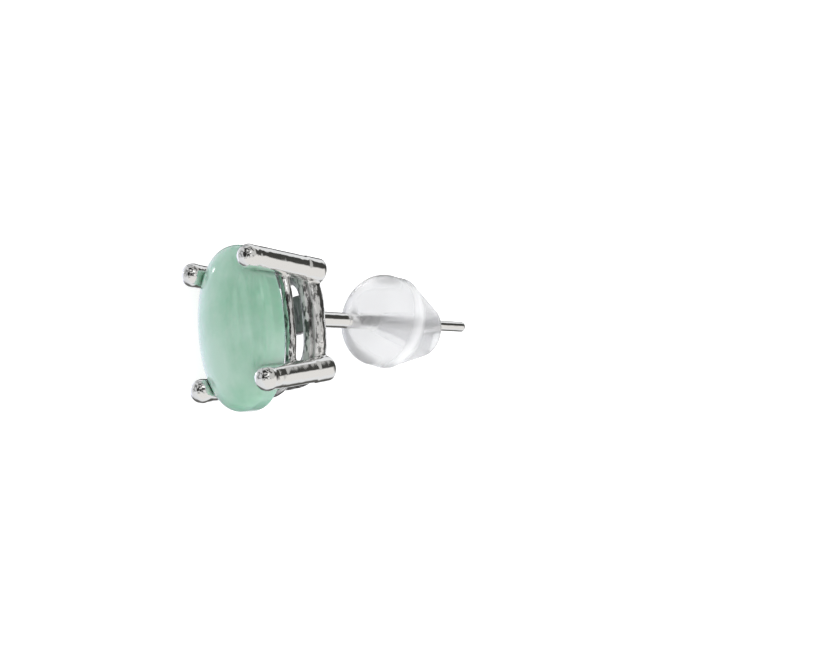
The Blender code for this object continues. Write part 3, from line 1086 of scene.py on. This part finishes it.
def make_tent_pattern(tree):
    """What polished metal mirrors: a bright side, a dim sky with lamps, and the white table below."""
    direction = tree.nodes.new("ShaderNodeTexCoord").outputs["Generated"]
    parts = tree.nodes.new("ShaderNodeSeparateXYZ")
    tree.links.new(direction, parts.inputs[0])
    mottle = add_node(tree, "ShaderNodeTexNoise", Scale=TENT_MOTTLE, Detail=2.0)
    tree.links.new(direction, mottle.inputs["Vector"])
    spotty = add_range(tree, mottle.outputs["Fac"], 0.44, 0.56, 0, 1)
    dim = add_mix(tree, spotty, TENT_DARK, TENT_DIM)
    dim = add_mix(tree, add_range(tree, parts.outputs["Y"], 0.20, 0.40, 0, 1), dim, TENT_BETWEEN)
    dim = add_mix(tree, add_range(tree, parts.outputs["Y"], 0.580, 0.610, 0, 1), dim, TENT_BEHIND)
    sky = add_mix(tree, add_tilted(tree, parts, "X", 0.62, 0.34, 0.07), dim, TENT_SIDE)
    table = add_mix(tree, add_range(tree, parts.outputs["Z"], -1, 0, 0, 1), TENT_TABLE, TENT_RIM)
    front = add_maths(tree, "MULTIPLY", add_range(tree, parts.outputs["Y"], 0.30, 0.10, 0, 1),
                      add_range(tree, parts.outputs["X"], 0.12, -0.08, 0, 1))
    front = add_maths(tree, "MULTIPLY", front, add_range(tree, parts.outputs["Z"], -0.76, -0.58, 0, 1))
    table = add_mix(tree, front, table, add_mix(tree, spotty, TENT_GLOOM, TENT_FRONT))
    colour = add_mix(tree, add_tilted(tree, parts, "Z", -0.33, 0.02, 0.035), table, sky)
    for towards, width, soft, gap in TENT_GAPS:
        colour = add_mix(tree, add_patch(tree, direction, towards, width, soft), colour, gap)
    for towards, width, soft, lamp in TENT_LAMPS:
        colour = add_mix(tree, add_patch(tree, direction, towards, width, soft), colour, lamp)
    return colour


def make_tent(stage):
    """An even white light tent, which shows its panels only in what is polished."""
    world = bpy.data.worlds.new("light_tent")
    world.use_nodes = True
    bpy.context.scene.world = world
    tree = world.node_tree
    background = tree.nodes["Background"]
    path = tree.nodes.new("ShaderNodeLightPath")
    parts = tree.nodes.new("ShaderNodeSeparateXYZ")
    tree.links.new(tree.nodes.new("ShaderNodeTexCoord").outputs["Generated"], parts.inputs[0])
    height = add_range(tree, parts.outputs["Z"], -0.1, 0.5, 0, 1)
    overhead = add_mix(tree, height, TENT_EVEN, TENT_OVERHEAD)
    colour = add_mix(tree, path.outputs["Is Transmission Ray"], TENT_EVEN, overhead)
    colour = add_mix(tree, path.outputs["Is Glossy Ray"], colour, make_tent_pattern(tree))
    tree.links.new(colour, background.inputs["Color"])
    background.inputs["Strength"].default_value = stage.tent_light


class EARRING_OT_stage(bpy.types.Operator):
    """Build the floor, the lights and the camera"""
    bl_idname = "earring.stage"
    bl_label = "Stage"

    def execute(self, context):
        stage = context.scene.earring_stage
        make_camera()
        make_floor(stage)
        make_tent(stage)
        make_softbox(stage)
        context.scene.view_settings.view_transform = "Standard"
        return {"FINISHED"}


class EARRING_PT_panel(bpy.types.Panel):
    bl_idname = "EARRING_PT_panel"
    bl_label = "Stud earring"
    bl_space_type = "VIEW_3D"
    bl_region_type = "UI"
    bl_category = "Earring"

    def draw(self, context):
        for operator in OPERATORS:
            self.layout.operator(operator.bl_idname)


GROUPS = {
    "earring_stone": StoneProperties,
    "earring_setting": SettingProperties,
    "earring_nut": NutProperties,
    "earring_stage": StageProperties,
}
OPERATORS = (EARRING_OT_setting, EARRING_OT_stone, EARRING_OT_ear_nut, EARRING_OT_stage)


def register():
    for name, group in GROUPS.items():
        bpy.utils.register_class(group)
        setattr(bpy.types.Scene, name, bpy.props.PointerProperty(type=group))
    for kind in (*OPERATORS, EARRING_PT_panel):
        bpy.utils.register_class(kind)


def unregister():
    for kind in (EARRING_PT_panel, *reversed(OPERATORS)):
        bpy.utils.unregister_class(kind)
    for name, group in GROUPS.items():
        delattr(bpy.types.Scene, name)
        bpy.utils.unregister_class(group)


def main():
    register()
    bpy.ops.earring.setting()
    bpy.ops.earring.stone()
    bpy.ops.earring.ear_nut()
    bpy.ops.earring.stage()


if __name__ == "__main__":
    main()
